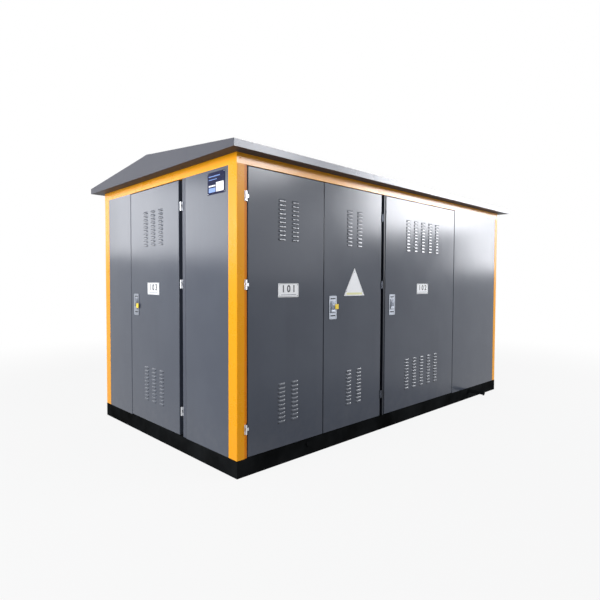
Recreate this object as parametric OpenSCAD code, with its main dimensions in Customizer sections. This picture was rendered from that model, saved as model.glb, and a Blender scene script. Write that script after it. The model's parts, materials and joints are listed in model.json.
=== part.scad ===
// Compact substation: a sheet-steel housing on a channel base, with a low gabled roof,
// hinged doors to its low-voltage and transformer rooms, and vent louvres pressed in the leaves.
// X runs along the housing, Y across it and Z up. The origin is on the ground, under its middle.
// Millimetres.

/* [Body] */
// Length over the corner posts
body_l = 4550; // [4300:10:6000]
// Width over the corner posts
body_w = 2470; // [2300:10:3200]
// Height of the walls, from the ground to the underside of the roof
wall_h = 2500; // [2450:10:2900]

/* [Base] */
// Height of the base channels
base_h = 140; // [120:5:200]
// Width of the base channels' flanges
base_flange = 58; // [50:2:80]
// Thickness of the base channels
base_t = 6; // [5:1:10]
// Thickness of the floor plate
floor_t = 4; // [3:1:8]
// Number of cross beams under the floor, with one of them in the middle
beam_count = 3; // [1:2:7]
// Diameter of the lifting pins
pin_d = 46; // [36:2:60]
// Depth of the lifting pins' middles below the top of the base
pin_drop = 37; // [36:1:60]
// Distance of the lifting pins from the ends of the housing
pin_inset = 780; // [400:10:900]
// Length of pin that shows on the ones that are drawn out
pin_out = 200; // [60:5:240]
// Diameter of the pins' end discs
disc_d = 60; // [54:2:100]
// Thickness of the pins' end discs
disc_t = 8; // [5:1:12]

/* [Frame] */
// Width of the corner posts on the long sides
post_side = 72; // [60:2:100]
// Width of the corner posts on the ends
post_end = 110; // [80:2:140]
// Thickness of the posts', headers' and mullions' sheet
frame_t = 3; // [2:0.5:5]
// Radius of the fold at a post's corner
post_r = 5; // [4:0.5:10]
// Height of the headers over the walls
header_h = 82; // [70:2:110]
// Depth of the headers' flanges
header_d = 60; // [55:1:70]
// Distance of the front header's splice before the end of the low-voltage doorway
splice_in = 24; // [-200:1:400]
// Width of the splice's gap
splice_gap = 1.5; // [1:0.5:3]
// Depth of the hinge flanges behind the face of the wall
flange_set = 5; // [4:0.5:10]

/* [Doors] */
// Thickness of the leaves and of the fixed panels
leaf_d = 45; // [40:1:50]
// Thickness of their sheet
skin = 2; // [1.5:0.5:3]
// Radius of their folded edges
fold_r = 5; // [4:0.5:8]
// Width of their inner lips
lip = 18; // [12:1:30]
// Space round a leaf, where it meets another leaf or a panel
leaf_gap = 8; // [5:0.5:12]
// Space above and below a leaf
door_clear = 5; // [5:0.5:10]
// Space between a leaf's back and its stop
stop_clear = 7; // [7:0.5:10]
// Width that a stop reaches behind a leaf
stop_reach = 20; // [12:1:30]
// Width of the low-voltage room's doorway
lv_w = 1714; // [1500:2:1800]
// Width of the transformer room's leaf
transformer_w = 1422; // [1200:2:1500]
// Width of the end door's leaf
end_w = 955; // [800:5:1000]
// Width of the narrow panel beside the end door
narrow_w = 540; // [350:5:600]
// Width of the hinge strip at the corner post
rebate_w = 34; // [30:1:44]
// Width of the recess between the two doors of a long side
recess_side = 76; // [66:1:100]
// Width of the recess between the end door and the corner panel
recess_end = 110; // [80:1:120]
// Width of the open channel in those recesses, beside the leaf's edge
channel_side = 50; // [46:1:54]
channel_end = 56; // [54:1:64]
// Height and depth of the stiffening rails inside the leaves
rail_h = 50; // [30:2:80]
rail_d = 30; // [20:1:36]
// Heights of the stiffening rails above the ground
rail_z = [880, 1650];

/* [Louvres] */
// Number of louvres in a column
louvre_rows = 10; // [4:1:10]
// Spacing of the louvres in a column
louvre_pitch = 35; // [32:0.5:38]
// Spacing of the columns
column_pitch = 150; // [110:2:160]
// Width of a louvre
louvre_w = 80; // [50:2:90]
// Height of a louvre
louvre_h = 20; // [16:1:24]
// How far a louvre stands out
louvre_out = 8; // [5:0.5:12]
// Distance of the upper group below the leaf's top
upper_drop = 213; // [60:1:400]
// Height of the lower group's top above the leaf's bottom
lower_top = 540; // [420:1:640]

/* [Roof] */
// Overhang of the roof past the ends
over_end = 110; // [60:5:200]
// Overhang of the roof past the long sides
over_side = 113; // [108:1:200]
// Height of the fascia along the eaves
fascia_h = 56; // [40:2:100]
// Rise of the ridge above the fascia
ridge_rise = 130; // [80:5:300]
// Thickness of the roof's sheet
roof_t = 2; // [1.5:0.5:4]
// Width of each side of the ridge cap
cap_w = 70; // [40:5:120]

/* [Hinges] */
// Height of a hinge
hinge_h = 78; // [60:2:100]
// Heights of the hinges' middles above the ground
hinge_z = [370, 1500, 2180];
// Radius of the hinge knuckles
knuckle_r = 7; // [6:0.5:8]
// Radius of the hinge pins
hinge_pin_r = 3; // [2:0.5:4]
// Distance of the pin from the leaf's edge: at the corner post, in a long side's recess, on an end
post_pin_off = 20; // [18:0.5:22]
side_pin_off = 9; // [8:0.5:10]
end_pin_off = 46; // [44:0.5:46]
// Distance of the pin in front of the leaf's face
pin_front = 6; // [5:0.5:8]
// Thickness of the hinge plates
plate_t = 3; // [2:0.5:4]
// Length of the strap on the leaf's face
plate_reach = 6; // [5:0.5:10]
// Depth of the end hinges' arms behind their pins
arm_back = 20; // [18:0.5:24]
// Length of the arms' feet on the leaf's edge
foot_l = 24; // [15:1:28]
// Radius of the transformer room's pivot pins
pivot_r = 5; // [4:0.5:5]
// Distance of the pivots from the leaf's edge
pivot_in = 8; // [8:0.5:9]
// Distance of the pivots behind the leaf's face
pivot_back = 10; // [9:0.5:10]
// Width of the slit between the transformer room's leaf and the fixed panel
slit = 8; // [8:0.5:12]

/* [Fittings] */
// Width of a lock
lock_w = 100; // [80:2:120]
// Height of a lock
lock_h = 215; // [180:5:240]
// Thickness of a lock's plate
lock_t = 5; // [3:0.5:8]
// Height of a lock's middle above the ground
lock_z = 1290; // [1200:5:1400]
// Distance of a lock from the leaf's edge
lock_inset = 68; // [40:1:90]
// Width and height of a name plate
name_w = 230; // [180:5:260]
name_h = 115; // [80:5:140]
// Height of the name plates' middles above the ground
name_z = 1453; // [1420:1:1600]
// Thickness of the plates
sign_t = 2; // [1:0.5:3]
// Side of the triangular plate
triangle_side = 305; // [250:5:330]
// Height of the triangular plate's lower edge above the ground
triangle_z = 1394; // [1380:1:1500]
// Width and height of the notice plate on the corner panel
notice_w = 240; // [180:5:300]
notice_h = 175; // [120:5:200]
// Distances of the notice plate from the corner panel's free edge and from its top
notice_side = 42; // [20:1:100]
notice_top = 24; // [10:1:60]

/* [Hidden] */
$fn = 48;

paint_grey = [0.42, 0.45, 0.50];
paint_orange = [0.98, 0.66, 0.06];
paint_black = [0.05, 0.05, 0.05];
paint_dark = [0.12, 0.13, 0.17];
zinc = [0.82, 0.83, 0.85];
enamel_white = [0.95, 0.95, 0.95];
notice_blue = [0.06, 0.07, 0.20];

// Heights of the wall's members
header_z = wall_h - header_h;
leaf_z = base_h + door_clear;
leaf_h = header_z - door_clear - leaf_z;
panel_h = header_z - base_h;
stop_at = leaf_d + stop_clear;

// Places along a long side, from the low-voltage end
lv_from = post_side + rebate_w;
lv_to = lv_from + lv_w;
lv_leaf_w = (lv_w - leaf_gap) / 2;
transformer_from = lv_to + recess_side;
transformer_to = transformer_from + transformer_w;
hv_from = transformer_to + slit;
hv_w = body_l - post_side - hv_from;

// Places along an end, from its far corner
narrow_from = post_end;
end_from = narrow_from + narrow_w + leaf_gap;
end_to = end_from + end_w;
corner_from = end_to + recess_end;
corner_w = body_w - post_end - corner_from;

// Places of the roof
eave_z = wall_h + fascia_h;
ridge_z = eave_z + ridge_rise;
roof_half_l = body_l / 2 + over_end;
roof_half_w = body_w / 2 + over_side;
pitch = atan(ridge_rise / roof_half_w);

// Small clearances
knuckle_gap = 0.5;
tie_gap = 1;
end_seat_w = 10;
pin_play = 0.05;
sleeve_play = 0.3;
notch_w = 6;
notch_clear = 8;
notch_h = hinge_h + 2 * notch_clear;
eps = 0.1;
far = body_l + body_w;

// --- Placing -------------------------------------------------------------------------------

// A wall's own frame: x along the wall, y into the housing, z up.
module on_front() translate([-body_l / 2, -body_w / 2, 0]) children();
module on_back() mirror([0, 1, 0]) on_front() children();
module on_left() translate([-body_l / 2, body_w / 2, 0]) rotate(-90) children();
module on_right() mirror([1, 0, 0]) on_left() children();

// Lays a drawing of (y, z) along x.
module along_x(length) rotate([90, 0, 90]) linear_extrude(length) children();

// --- Base ----------------------------------------------------------------------------------

// Keeps the part of a member that lies between two mitred corners.
module mitred(length, depth) intersection() {
    children();
    linear_extrude(far)
        polygon([[0, 0], [length, 0], [length - depth, depth], [depth, depth]]);
}

module channel_outline(h, flange, t) difference() {
    square([flange, h]);
    translate([t, t]) square([flange, h - 2 * t]);
}

pin_z = base_h - pin_drop;

module pin_places(y) {
    for (x = [pin_inset, body_l - pin_inset])
        translate([x, y, pin_z]) rotate([90, 0, 0]) children();
}

sleeve_l = base_flange;
sleeve_t = 6;
pin_hold = 100;
pin_l = pin_out + pin_hold;

// The transformer room's leaf turns on two short pins, one in the header and one in the base.
module at_pivot(z) translate([transformer_to - pivot_in, pivot_back, z]) children();

module pivot_bore(z, depth) at_pivot(z - eps) cylinder(r = pivot_r + pin_play, h = depth + 2 * eps);

module pivot_pins() {
    at_pivot(base_h - base_t) cylinder(r = pivot_r, h = base_t + door_clear);
    at_pivot(header_z - door_clear) cylinder(r = pivot_r, h = door_clear + frame_t);
}

module base_side_channel() difference() {
    union() {
        mitred(body_l, base_flange) along_x(body_l) channel_outline(base_h, base_flange, base_t);
        pin_places(sleeve_l) cylinder(r = pin_d / 2 + sleeve_play + sleeve_t, h = sleeve_l - base_t / 2);
    }
    pin_places(sleeve_l + eps) cylinder(r = pin_d / 2 + sleeve_play, h = sleeve_l + 1);
    pivot_bore(base_h - base_t, base_t);
}

module base_side_channels() color(paint_black) {
    on_front() base_side_channel();
    on_back() base_side_channel();
}

module base_end_channels() color(paint_black) {
    on_left() mitred(body_w, base_flange) along_x(body_w) channel_outline(base_h, base_flange, base_t);
    on_right() mitred(body_w, base_flange) along_x(body_w) channel_outline(base_h, base_flange, base_t);
}

beam_step = body_l / (beam_count + 1);

// A beam that stands in a lifting pin's way is cut back from it.
module base_cross_beams() color(paint_black) difference() {
    for (i = [1:beam_count])
        translate([-body_l / 2 + i * beam_step - base_flange / 2, -body_w / 2 + base_flange, 0])
            cross_beam(body_w - 2 * base_flange);
    on_front() pin_paths();
    on_back() pin_paths();
}

module pin_paths() pin_places(pin_l + eps) cylinder(r = pin_d / 2 + sleeve_play, h = pin_l);

// An I-beam along Y.
module cross_beam(length) translate([0, length, 0]) rotate([90, 0, 0]) linear_extrude(length) {
    square([base_flange, base_t]);
    translate([0, base_h - base_t]) square([base_flange, base_t]);
    translate([(base_flange - base_t) / 2, 0]) square([base_t, base_h]);
}

floor_inset = stop_at + frame_t;

module floor_plate() color(paint_dark)
    translate([-body_l / 2 + floor_inset, -body_w / 2 + floor_inset, base_h])
        cube([body_l - 2 * floor_inset, body_w - 2 * floor_inset, floor_t]);

// A lifting pin whose disc stands off the channel by the length that is drawn out.
module lifting_pin(out) {
    translate([0, 0, out]) cylinder(r = disc_d / 2, h = disc_t);
    translate([0, 0, out - pin_l]) cylinder(r = pin_d / 2, h = pin_l + disc_t / 2);
}

// The pins near the right-hand end are drawn out, ready for lifting.
module lifting_pin_pair() {
    translate([pin_inset, 0, pin_z]) rotate([90, 0, 0]) lifting_pin(0);
    translate([body_l - pin_inset, 0, pin_z]) rotate([90, 0, 0]) lifting_pin(pin_out);
}

module lifting_pins() color(paint_black) {
    on_front() lifting_pin_pair();
    on_back() lifting_pin_pair();
}

// --- Frame ---------------------------------------------------------------------------------

// Folded corner of two faces at right angles, with its outer corner rounded.
module corner_fold(a, b) difference() {
    union() {
        square([a, frame_t]);
        square([frame_t, b]);
        square([post_r, post_r]);
    }
    difference() {
        translate([-eps, -eps]) square([post_r + eps, post_r + eps]);
        translate([post_r, post_r]) circle(r = post_r);
    }
}

// A post's outline: x along the long side, y along the end. The hinge flange is set back from
// the face, and ends in a stop behind the leaf.
module post_outline(hinged) {
    flange_to = lv_from - leaf_gap;
    corner_fold(post_side, post_end);
    translate([0, post_end - frame_t]) square([stop_at + frame_t, frame_t]);
    if (hinged) {
        translate([post_side - frame_t, 0]) square([frame_t, flange_set + frame_t]);
        translate([post_side - frame_t, flange_set]) square([flange_to - post_side + frame_t, frame_t]);
        translate([flange_to - frame_t, flange_set]) square([frame_t, stop_at + frame_t - flange_set]);
        translate([flange_to - frame_t, stop_at])
            square([leaf_gap + stop_reach + frame_t, frame_t]);
    } else {
        translate([post_side - frame_t, 0]) square([frame_t, stop_at + frame_t]);
    }
}

// The hinge flange is notched at each hinge, so that the strap can pass.
module hinged_post() translate([-body_l / 2, -body_w / 2, 0]) difference() {
    translate([0, 0, base_h]) linear_extrude(panel_h) post_outline(true);
    for (z = hinge_z)
        translate([lv_from - leaf_gap - notch_w, flange_set - eps, z - notch_h / 2])
            cube([notch_w + eps, stop_at - flange_set - notch_w, notch_h]);
}

module plain_post() translate([-body_l / 2, -body_w / 2, base_h]) linear_extrude(panel_h) post_outline(false);

module corner_posts() color(paint_orange) {
    hinged_post();
    mirror([0, 1, 0]) hinged_post();
    mirror([1, 0, 0]) plain_post();
    mirror([1, 0, 0]) mirror([0, 1, 0]) plain_post();
}

module header(length) color(paint_orange) mitred(length, header_d)
    translate([0, 0, header_z]) along_x(length) channel_outline(header_h, header_d, frame_t);

module header_side() difference() {
    header(body_l);
    pivot_bore(header_z, frame_t);
}

// The part of the front header from one place to another.
module header_front(from, to) on_front() intersection() {
    header_side();
    translate([from, -eps, 0]) cube([to - from, header_d + 1, far]);
}

module header_front_left() header_front(-1, lv_to - splice_in - splice_gap / 2);
module header_front_right() header_front(lv_to - splice_in + splice_gap / 2, body_l + 1);
module header_back() on_back() header_side();
module headers_end() {
    on_left() header(body_w);
    on_right() header(body_w);
}

// Back of a recess beside a hinged edge, with a stop behind the leaf on each side.
module mullion(leaf_edge, recess) translate([leaf_edge - stop_reach, stop_at, base_h])
    cube([recess + 2 * stop_reach, frame_t, panel_h]);

// Folded post that stands in a recess, beside its open channel.
module recess_post(leaf_edge, channel, recess) translate([leaf_edge + channel, flange_set, base_h])
    linear_extrude(panel_h) difference() {
        square([recess - leaf_gap - channel, stop_at - flange_set]);
        translate([frame_t, frame_t])
            square([recess - leaf_gap - channel - 2 * frame_t, stop_at - flange_set]);
    }

// Plain jamb behind the slit between a leaf and a panel.
module jamb(at, width) translate([at - stop_reach, stop_at, base_h])
    cube([width + 2 * stop_reach, frame_t, panel_h]);

module side_mullions() {
    mullion(lv_to, recess_side);
    jamb(transformer_to, slit);
}

module end_mullions() {
    mullion(end_to, recess_end);
    jamb(end_from - leaf_gap, leaf_gap);
}

module mullions_side() color(paint_dark) {
    on_front() side_mullions();
    on_back() side_mullions();
}

module mullions_end() color(paint_dark) {
    on_left() end_mullions();
    on_right() end_mullions();
}

module recess_posts() color(paint_grey) {
    on_front() recess_post(lv_to, channel_side, recess_side);
    on_back() recess_post(lv_to, channel_side, recess_side);
    on_left() recess_post(end_to, channel_end, recess_end);
    on_right() recess_post(end_to, channel_end, recess_end);
}

// --- Leaves and panels ---------------------------------------------------------------------

// Outline of a folded leaf: a face with rounded edges, two returns and two inner lips.
module rounded_front(w, d, r) {
    translate([r, 0]) square([w - 2 * r, d]);
    translate([0, r]) square([w, d - r]);
    for (x = [r, w - r]) translate([x, r]) circle(r = r);
}

module pan_outline(w) difference() {
    rounded_front(w, leaf_d, fold_r);
    translate([skin, skin]) rounded_front(w - 2 * skin, leaf_d - 2 * skin, fold_r - skin);
    translate([lip, skin]) square([w - 2 * lip, leaf_d]);
}

// A leaf or panel with its top and bottom closed and two rails across its back.
module pan(w, h, z0) translate([0, 0, z0]) {
    linear_extrude(h) pan_outline(w);
    for (z = [0, h - skin]) translate([0, 0, z]) linear_extrude(skin) rounded_front(w, leaf_d, fold_r);
    for (z = rail_z)
        translate([skin / 2, skin / 2, z - z0]) difference() {
            cube([w - skin, rail_d, rail_h]);
            translate([-1, skin / 2, skin]) cube([w + 2, rail_d - 1.5 * skin, rail_h - 2 * skin]);
        }
}

// One louvre's outside, and its open inside, as drawings of (y, z) with the top at z = 0.
module louvre_outside() polygon([
    [skin / 2, 0], [0, 0], [-0.65 * louvre_out, -0.35 * louvre_h], [-louvre_out, -0.75 * louvre_h],
    [-louvre_out, -louvre_h], [skin / 2, -louvre_h]
]);

module louvre_inside() polygon([
    [skin + 1, -0.3 * louvre_h], [0, -0.3 * louvre_h], [skin - louvre_out, -0.75 * louvre_h],
    [skin - louvre_out, -louvre_h - eps], [0, -louvre_h - eps], [0, -0.9 * louvre_h],
    [skin + 1, -0.9 * louvre_h]
]);

module louvre_places(w, columns) {
    for (top = [leaf_z + leaf_h - upper_drop, leaf_z + lower_top])
        for (c = [0:columns - 1])
            for (r = [0:louvre_rows - 1])
                translate([
                    (w - (columns - 1) * column_pitch - louvre_w) / 2 + c * column_pitch,
                    0,
                    top - r * louvre_pitch
                ]) children();
}

module leaf(w, columns) color(paint_grey) difference() {
    union() {
        pan(w, leaf_h, leaf_z);
        louvre_places(w, columns) along_x(louvre_w) louvre_outside();
    }
    louvre_places(w, columns) translate([skin, 0, 0]) along_x(louvre_w - 2 * skin) louvre_inside();
}

module panel(w) color(paint_grey) pan(w, panel_h, base_h);

lv_right_from = lv_from + lv_leaf_w + leaf_gap;

module leaf_lv_left() on_front() translate([lv_from, 0, 0]) leaf(lv_leaf_w, 2);
module leaf_lv_right() on_front() translate([lv_right_from, 0, 0]) leaf(lv_leaf_w, 2);
module leaf_transformer() on_front() translate([transformer_from, 0, 0]) leaf(transformer_w, 5);
module leaf_end() on_left() translate([end_from, 0, 0]) leaf(end_w, 3);
module panel_front() on_front() translate([hv_from, 0, 0]) panel(hv_w);
module panel_left_corner() on_left() translate([corner_from, 0, 0]) panel(corner_w);
module panel_left_narrow() on_left() translate([narrow_from, 0, 0]) panel(narrow_w);

module leaves_back_lv() on_back() for (x = [lv_from, lv_right_from]) translate([x, 0, 0]) leaf(lv_leaf_w, 2);
module leaf_back_transformer() on_back() translate([transformer_from, 0, 0]) leaf(transformer_w, 5);
module panel_back() on_back() translate([hv_from, 0, 0]) panel(hv_w);
module leaf_right_end() on_right() translate([end_from, 0, 0]) leaf(end_w, 3);
module panels_right() on_right() {
    translate([corner_from, 0, 0]) panel(corner_w);
    translate([narrow_from, 0, 0]) panel(narrow_w);
}

// --- Roof ----------------------------------------------------------------------------------

// Outline of one slope and its fascia, as (y, z) from the eave to the ridge.
module slope_outline() {
    drop = roof_t / cos(pitch);
    polygon([
        [0, 0], [roof_t, 0], [roof_t, fascia_h - drop + roof_t * tan(pitch)],
        [roof_half_w, fascia_h + ridge_rise - drop], [roof_half_w, fascia_h + ridge_rise], [0, fascia_h]
    ]);
}

module roof_slope_front() color(paint_grey)
    translate([-roof_half_l + roof_t, -roof_half_w, wall_h])
        along_x(2 * (roof_half_l - roof_t)) slope_outline();

module roof_slope_back() mirror([0, 1, 0]) roof_slope_front();

module gable() color(paint_grey)
    translate([-roof_half_l, 0, wall_h]) along_x(roof_t)
        polygon([
            [-roof_half_w, 0], [roof_half_w, 0], [roof_half_w, fascia_h],
            [0, fascia_h + ridge_rise], [-roof_half_w, fascia_h]
        ]);

module gables() {
    gable();
    mirror([1, 0, 0]) gable();
}

module roof_underside() color(paint_grey)
    translate([-roof_half_l + roof_t, -roof_half_w + roof_t, wall_h])
        cube([2 * (roof_half_l - roof_t), 2 * (roof_half_w - roof_t), roof_t]);

module ridge_cap() color(paint_grey)
    translate([-roof_half_l, 0, ridge_z]) along_x(2 * roof_half_l) {
        drop = cap_w * tan(pitch);
        polygon([
            [0, 0], [cap_w, -drop], [cap_w, roof_t - drop],
            [0, roof_t], [-cap_w, roof_t - drop], [-cap_w, -drop]
        ]);
    }

// --- Hinges --------------------------------------------------------------------------------

knuckle_h = hinge_h / 3;

module knuckle(from, to) translate([0, 0, from]) cylinder(r = knuckle_r, h = to - from);

// Fixed half on the face of a post, about the pin. side is 1 where the post lies to the right of the
// pin and -1 to its left; reach is the plate's length and seat its depth behind the pin.
module hinge_on_face(side, reach, seat) {
    cylinder(r = hinge_pin_r, h = hinge_h, center = true);
    for (z = [-hinge_h / 2, knuckle_h / 2]) {
        knuckle(z, z + knuckle_h);
        translate([side > 0 ? 0 : -knuckle_r, 0, z]) cube([knuckle_r, seat, knuckle_h]);
        translate([side > 0 ? 0 : -reach, seat - plate_t, z]) cube([reach, plate_t, knuckle_h]);
    }
    tie_from = knuckle_r + tie_gap;
    translate([side > 0 ? tie_from : -reach, seat - plate_t, -hinge_h / 2])
        cube([reach - tie_from, plate_t, hinge_h]);
}

// Fixed half that reaches back to the bottom of a recess.
module hinge_in_recess(seat) {
    cylinder(r = hinge_pin_r, h = hinge_h, center = true);
    for (z = [-hinge_h / 2, knuckle_h / 2]) {
        knuckle(z, z + knuckle_h);
        translate([0, 0, z]) cube([knuckle_r, knuckle_r + tie_gap + plate_t, knuckle_h]);
    }
    translate([knuckle_r - plate_t, knuckle_r + tie_gap, -hinge_h / 2])
        cube([plate_t, seat - knuckle_r - tie_gap, hinge_h]);
}

knuckle_half = knuckle_h / 2 - knuckle_gap;

module pin_bore() cylinder(r = hinge_pin_r + pin_play, h = hinge_h, center = true);

// Moving half: the middle knuckle, and a strap onto the leaf's face.
module hinge_moving(side, off) difference() {
    union() {
        knuckle(-knuckle_half, knuckle_half);
        translate([side > 0 ? -off - plate_reach : 0, pin_front - plate_t, -knuckle_half])
            cube([off + plate_reach, plate_t, 2 * knuckle_half]);
    }
    pin_bore();
}

// The end door's moving half: the knuckle with its link, and the arm that joins it to the leaf's edge.
module hinge_link() difference() {
    union() {
        knuckle(-knuckle_half, knuckle_half);
        translate([-knuckle_r, 0, -knuckle_half]) cube([knuckle_r, arm_back, 2 * knuckle_half]);
    }
    pin_bore();
}

module hinge_arm() {
    translate([-end_pin_off, arm_back - plate_t, -knuckle_half])
        cube([end_pin_off - knuckle_r, plate_t, 2 * knuckle_half]);
    translate([-end_pin_off, arm_back - plate_t, -knuckle_half]) cube([plate_t, foot_l, 2 * knuckle_half]);
}

// Puts a hinge half at each height, with its pin at a leaf's edge.
module at_hinges(pin_x) for (z = hinge_z) translate([pin_x, -pin_front, z]) children();

lv_left_pin = lv_from - post_pin_off;
lv_right_pin = lv_to + side_pin_off;
end_pin = end_to + end_pin_off;
seat_on_flange = pin_front + flange_set;

module side_brackets() {
    at_hinges(lv_left_pin) hinge_on_face(-1, lv_left_pin - post_side - tie_gap, seat_on_flange);
    at_hinges(lv_right_pin) hinge_in_recess(pin_front + stop_at);
}

module end_brackets()
    at_hinges(end_pin) hinge_on_face(1, channel_end - end_pin_off + end_seat_w, seat_on_flange);

// The unseen sides' doors are closed for good, so their moving halves belong to the frame.
module hinge_brackets() color(zinc) {
    on_front() side_brackets();
    on_left() end_brackets();
    on_back() {
        side_brackets();
        at_hinges(lv_left_pin) hinge_moving(-1, post_pin_off);
        at_hinges(lv_right_pin) hinge_moving(1, side_pin_off);
        pivot_pins();
    }
    on_right() {
        end_brackets();
        at_hinges(end_pin) { hinge_link(); hinge_arm(); }
    }
}

module hinge_plates_lv_left() color(zinc) on_front() at_hinges(lv_left_pin) hinge_moving(-1, post_pin_off);
module hinge_plates_lv_right() color(zinc) on_front() at_hinges(lv_right_pin) hinge_moving(1, side_pin_off);
module pivot_pins_transformer() color(zinc) on_front() pivot_pins();
module hinge_plates_end() color(zinc) on_left() at_hinges(end_pin) hinge_link();
module hinge_arms_end() color(paint_dark) on_left() at_hinges(end_pin) hinge_arm();

// --- Fittings ------------------------------------------------------------------------------

lock_r = 8;
plate_r = 3;
slot_h = 8;
slot_off = 9;
cut_out = 1;
handle_w = 64;
handle_h = 130;
handle_out = 12;

module rounded_plate(w, h, r, t) rotate([90, 0, 0]) linear_extrude(t) translate([-w / 2, -h / 2]) {
    translate([r, 0]) square([w - 2 * r, h]);
    translate([0, r]) square([w, h - 2 * r]);
    for (x = [r, w - r], z = [r, h - r]) translate([x, z]) circle(r = r);
}

// A lock on a leaf's face, its handle hanging between two cross slots.
module lock(leaf_from) color(zinc) translate([leaf_from + lock_inset + lock_w / 2, 0, lock_z]) difference() {
    union() {
        rounded_plate(lock_w, lock_h, lock_r, lock_t);
        rounded_plate(handle_w, handle_h, lock_r / 2, handle_out);
    }
    for (z = [-1, 1])
        translate([-handle_w / 2, -lock_t - cut_out, z * (handle_h / 2 + slot_off) - slot_h / 2])
            cube([handle_w, lock_t / 2 + cut_out, slot_h]);
}

module name_plate(leaf_from, leaf_w) color(enamel_white)
    translate([leaf_from + leaf_w / 2, 0, name_z]) rounded_plate(name_w, name_h, plate_r, sign_t);

module lock_lv() on_front() lock(lv_right_from);
module lock_transformer() on_front() lock(transformer_from);
module lock_end() on_left() lock(end_from);
module locks_unseen_sides() {
    on_back() { lock(lv_right_from); lock(transformer_from); }
    on_right() lock(end_from);
}

module name_plate_lv() on_front() name_plate(lv_from, lv_leaf_w);
module name_plate_transformer() on_front() name_plate(transformer_from, transformer_w);
module name_plate_end() on_left() name_plate(end_from, end_w);

module triangle_plate() color(enamel_white) on_front()
    translate([lv_right_from + lv_leaf_w / 2, 0, triangle_z]) rotate([90, 0, 0]) linear_extrude(sign_t)
        polygon([[-triangle_side / 2, 0], [triangle_side / 2, 0], [0, triangle_side * sqrt(3) / 2]]);

module notice_plate() color(notice_blue) on_left()
    translate([corner_from + corner_w - notice_side - notice_w / 2, 0, header_z - notice_top - notice_h / 2])
        rounded_plate(notice_w, notice_h, plate_r, sign_t);

// --- Assembly ------------------------------------------------------------------------------

base_side_channels();
base_end_channels();
base_cross_beams();
floor_plate();
lifting_pins();
corner_posts();
header_front_left();
header_front_right();
header_back();
headers_end();
mullions_side();
mullions_end();
recess_posts();
panel_front();
panel_left_corner();
panel_left_narrow();
leaves_back_lv();
leaf_back_transformer();
panel_back();
leaf_right_end();
panels_right();
roof_slope_front();
roof_slope_back();
gables();
roof_underside();
ridge_cap();
hinge_brackets();
locks_unseen_sides();
notice_plate();
leaf_lv_left();
hinge_plates_lv_left();
name_plate_lv();
leaf_lv_right();
hinge_plates_lv_right();
lock_lv();
triangle_plate();
leaf_transformer();
pivot_pins_transformer();
lock_transformer();
name_plate_transformer();
leaf_end();
hinge_plates_end();
hinge_arms_end();
lock_end();
name_plate_end();
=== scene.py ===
import json
import math

import bmesh
import bpy
from mathutils import Matrix, Vector


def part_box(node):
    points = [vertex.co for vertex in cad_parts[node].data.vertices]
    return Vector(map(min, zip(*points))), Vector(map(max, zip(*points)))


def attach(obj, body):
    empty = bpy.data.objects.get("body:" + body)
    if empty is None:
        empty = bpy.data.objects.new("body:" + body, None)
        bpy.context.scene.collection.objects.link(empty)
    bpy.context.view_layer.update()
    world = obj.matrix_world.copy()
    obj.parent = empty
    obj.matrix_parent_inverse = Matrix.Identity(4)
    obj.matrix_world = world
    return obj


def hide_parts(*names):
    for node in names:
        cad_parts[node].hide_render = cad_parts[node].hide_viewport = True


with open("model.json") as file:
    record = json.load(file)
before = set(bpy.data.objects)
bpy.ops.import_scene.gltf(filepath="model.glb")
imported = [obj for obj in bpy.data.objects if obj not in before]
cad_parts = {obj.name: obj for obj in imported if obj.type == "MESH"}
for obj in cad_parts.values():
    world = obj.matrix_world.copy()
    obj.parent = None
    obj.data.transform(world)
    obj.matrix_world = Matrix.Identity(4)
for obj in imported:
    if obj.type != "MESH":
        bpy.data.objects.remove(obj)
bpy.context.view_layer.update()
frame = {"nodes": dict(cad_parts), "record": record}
nodes = frame["nodes"]
print("frame loaded,", len(nodes), "nodes")

housing = {"length": 4.55, "width": 2.47, "wallTop": 2.5, "headerBottom": 2.418}
halfLength, halfWidth = housing["length"] / 2, housing["width"] / 2

# Each wall's own frame: x along the wall, y into the housing, z up.
frontWall = Matrix.Translation((-halfLength, -halfWidth, 0))
leftWall = Matrix.Translation((-halfLength, halfWidth, 0)) @ Matrix.Rotation(-math.pi / 2, 4, "Z")
walls = {
    "front": frontWall,
    "back": Matrix.Scale(-1, 4, (0, 1, 0)) @ frontWall,
    "left": leftWall,
    "right": Matrix.Scale(-1, 4, (1, 0, 0)) @ leftWall,
}


def span(node, wall):
    # lowest and highest corner of a node, in its wall's frame
    low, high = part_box(node)
    corners = [walls[wall].inverted() @ Vector((x, y, z))
               for x in (low[0], high[0]) for y in (low[1], high[1]) for z in (low[2], high[2])]
    return (Vector([min(c[i] for c in corners) for i in range(3)]),
            Vector([max(c[i] for c in corners) for i in range(3)]))


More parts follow.
